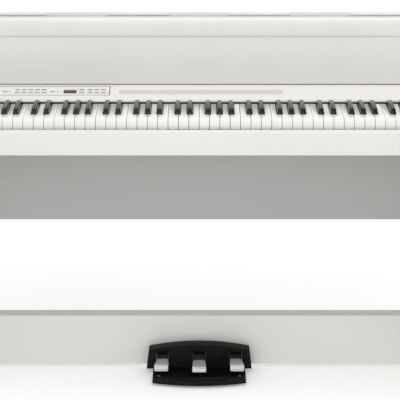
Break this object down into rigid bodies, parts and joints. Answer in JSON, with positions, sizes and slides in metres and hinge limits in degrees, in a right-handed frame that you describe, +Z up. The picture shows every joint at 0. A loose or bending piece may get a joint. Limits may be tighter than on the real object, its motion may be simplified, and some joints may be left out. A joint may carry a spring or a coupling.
{
  "type": "digital piano on stand",
  "caption": "Slim home digital piano in white, with full-size keys, a fold-over lid, a speaker box under the keybed and a three-pedal unit on a panel stand.",
  "frame": {"origin": "on the floor, under the middle of the piano's outline", "axes": "+Z up, the player sits on the -Y side, +X towards the treble keys"},
  "size_m": [1.355, 0.351, 0.9102],
  "materials": {
    "painted_board": "satin white foil on board",
    "panel_plastic": "fine satin",
    "button_plastic": "satin",
    "white_key": "gloss",
    "black_key": "satin black",
    "felt": "dark red wool felt",
    "grille_cloth": "grey woven cloth",
    "black_plastic": "fine textured black",
    "pedal_metal": "satin nickel",
    "hinge_enamel": "white enamel",
    "steel": "zinc plated",
    "circuit_board": "solder-masked laminate",
    "display_red": "tinted window",
    "chassis_plastic": "moulded grey",
    "box_board": "black painted board",
    "rubber": "matte"
  },
  "bodies": {
    "case": {"side_panel_left": "painted_board", "side_panel_right": "painted_board", "pedal_board": "painted_board", "keybed": "painted_board", "back_panel": "painted_board", "rear_deck": "painted_board", "key_slip": "painted_board", "cheek_block_left": "painted_board", "cheek_block_right": "painted_board", "control_panel": "panel_plastic", "sound_buttons": "button_plastic", "function_buttons": "button_plastic", "white_keys": "white_key", "black_keys": "black_key", "felt_strip": "felt", "speaker_grille": "grille_cloth", "pedal_housing": "black_plastic", "pedal_base": "black_plastic", "speaker_left": "black_plastic", "speaker_right": "black_plastic", "dc_inlet": "black_plastic", "key_pivot_rod": "steel", "lid_pin_left": "steel", "lid_pin_right": "steel", "pedal_shaft": "steel", "pedal_spring": "steel", "main_board": "circuit_board", "contact_board": "circuit_board", "display_window": "display_red", "key_chassis": "chassis_plastic", "speaker_box": "box_board", "foot_front_left": "rubber", "foot_front_right": "rubber", "foot_rear_left": "rubber", "foot_rear_right": "rubber", "pedal_adjuster": "rubber"},
    "soft_pedal": {"soft_pedal": "pedal_metal"},
    "sostenuto_pedal": {"sostenuto_pedal": "pedal_metal"},
    "damper_pedal": {"damper_pedal": "pedal_metal"},
    "lid_rear": {"lid_rear": "painted_board", "lid_batten": "painted_board", "fold_hinge_rear_leaf": "hinge_enamel"},
    "lid_front": {"lid_front": "painted_board", "fold_hinge_front_leaf": "hinge_enamel"},
    "value_down_button": {"value_down_button": "button_plastic"},
    "value_up_button": {"value_up_button": "button_plastic"},
    "power_button": {"power_button": "button_plastic"},
    "volume_slider": {"volume_slider": "button_plastic"},
    "key_c4": {"key_c4": "white_key"},
    "key_c_sharp4": {"key_c_sharp4": "black_key"},
    "key_d4": {"key_d4": "white_key"},
    "key_d_sharp4": {"key_d_sharp4": "black_key"},
    "key_e4": {"key_e4": "white_key"},
    "key_f4": {"key_f4": "white_key"},
    "key_f_sharp4": {"key_f_sharp4": "black_key"},
    "key_g4": {"key_g4": "white_key"},
    "key_g_sharp4": {"key_g_sharp4": "black_key"},
    "key_a4": {"key_a4": "white_key"},
    "key_a_sharp4": {"key_a_sharp4": "black_key"},
    "key_b4": {"key_b4": "white_key"}
  },
  "joints": [
    {"name": "key_c4_press", "type": "hinge", "parent": "case", "child": "key_c4", "pos_m": [0, 0.064, 0.6847], "axis": [1, 0, 0], "range_deg": [0, 2.8], "stiffness_Nm_per_rad": 2, "springref_deg": -5.73},
    {"name": "key_c_sharp4_press", "type": "hinge", "parent": "case", "child": "key_c_sharp4", "pos_m": [0, 0.064, 0.6847], "axis": [1, 0, 0], "range_deg": [0, 2.8], "stiffness_Nm_per_rad": 2, "springref_deg": -5.73},
    {"name": "key_d4_press", "type": "hinge", "parent": "case", "child": "key_d4", "pos_m": [0, 0.064, 0.6847], "axis": [1, 0, 0], "range_deg": [0, 2.8], "stiffness_Nm_per_rad": 2, "springref_deg": -5.73},
    {"name": "key_d_sharp4_press", "type": "hinge", "parent": "case", "child": "key_d_sharp4", "pos_m": [0, 0.064, 0.6847], "axis": [1, 0, 0], "range_deg": [0, 2.8], "stiffness_Nm_per_rad": 2, "springref_deg": -5.73},
    {"name": "key_e4_press", "type": "hinge", "parent": "case", "child": "key_e4", "pos_m": [0, 0.064, 0.6847], "axis": [1, 0, 0], "range_deg": [0, 2.8], "stiffness_Nm_per_rad": 2, "springref_deg": -5.73},
    {"name": "key_f4_press", "type": "hinge", "parent": "case", "child": "key_f4", "pos_m": [0, 0.064, 0.6847], "axis": [1, 0, 0], "range_deg": [0, 2.8], "stiffness_Nm_per_rad": 2, "springref_deg": -5.73},
    {"name": "key_f_sharp4_press", "type": "hinge", "parent": "case", "child": "key_f_sharp4", "pos_m": [0, 0.064, 0.6847], "axis": [1, 0, 0], "range_deg": [0, 2.8], "stiffness_Nm_per_rad": 2, "springref_deg": -5.73},
    {"name": "key_g4_press", "type": "hinge", "parent": "case", "child": "key_g4", "pos_m": [0, 0.064, 0.6847], "axis": [1, 0, 0], "range_deg": [0, 2.8], "stiffness_Nm_per_rad": 2, "springref_deg": -5.73},
    {"name": "key_g_sharp4_press", "type": "hinge", "parent": "case", "child": "key_g_sharp4", "pos_m": [0, 0.064, 0.6847], "axis": [1, 0, 0], "range_deg": [0, 2.8], "stiffness_Nm_per_rad": 2, "springref_deg": -5.73},
    {"name": "key_a4_press", "type": "hinge", "parent": "case", "child": "key_a4", "pos_m": [0, 0.064, 0.6847], "axis": [1, 0, 0], "range_deg": [0, 2.8], "stiffness_Nm_per_rad": 2, "springref_deg": -5.73},
    {"name": "key_a_sharp4_press", "type": "hinge", "parent": "case", "child": "key_a_sharp4", "pos_m": [0, 0.064, 0.6847], "axis": [1, 0, 0], "range_deg": [0, 2.8], "stiffness_Nm_per_rad": 2, "springref_deg": -5.73},
    {"name": "key_b4_press", "type": "hinge", "parent": "case", "child": "key_b4", "pos_m": [0, 0.064, 0.6847], "axis": [1, 0, 0], "range_deg": [0, 2.8], "stiffness_Nm_per_rad": 2, "springref_deg": -5.73},
    {"name": "soft_pedal_press", "type": "hinge", "parent": "case", "child": "soft_pedal", "pos_m": [-0.094, 0.122, 0.039], "axis": [1, 0, 0], "range_deg": [0, 7], "stiffness_Nm_per_rad": 4, "springref_deg": -6.88},
    {"name": "sostenuto_pedal_press", "type": "hinge", "parent": "case", "child": "sostenuto_pedal", "pos_m": [0, 0.122, 0.039], "axis": [1, 0, 0], "range_deg": [0, 7], "stiffness_Nm_per_rad": 4, "springref_deg": -6.88},
    {"name": "damper_pedal_press", "type": "hinge", "parent": "case", "child": "damper_pedal", "pos_m": [0.094, 0.122, 0.039], "axis": [1, 0, 0], "range_deg": [0, 7], "stiffness_Nm_per_rad": 4, "springref_deg": -6.88},
    {"name": "lid_hinge", "type": "hinge", "parent": "case", "child": "lid_rear", "pos_m": [0, 0.0843, 0.751], "axis": [1, 0, 0], "range_deg": [0, 90]},
    {"name": "lid_fold", "type": "hinge", "parent": "lid_rear", "child": "lid_front", "pos_m": [0, 0.0936, 0.907], "axis": [1, 0, 0], "range_deg": [0, 180]},
    {"name": "value_down_button_press", "type": "slide", "parent": "case", "child": "value_down_button", "axis": [0, 0.2283, -0.9736], "range_m": [0, 0.0008], "stiffness_N_per_m": 600, "springref_m": -0.001},
    {"name": "value_up_button_press", "type": "slide", "parent": "case", "child": "value_up_button", "axis": [0, 0.2283, -0.9736], "range_m": [0, 0.0008], "stiffness_N_per_m": 600, "springref_m": -0.001},
    {"name": "power_button_press", "type": "slide", "parent": "case", "child": "power_button", "axis": [0, 0.2283, -0.9736], "range_m": [0, 0.0015], "stiffness_N_per_m": 500, "springref_m": -0.001},
    {"name": "volume_slide", "type": "slide", "parent": "case", "child": "volume_slider", "axis": [1, 0, 0], "range_m": [-0.015, 0.015]}
  ]
}
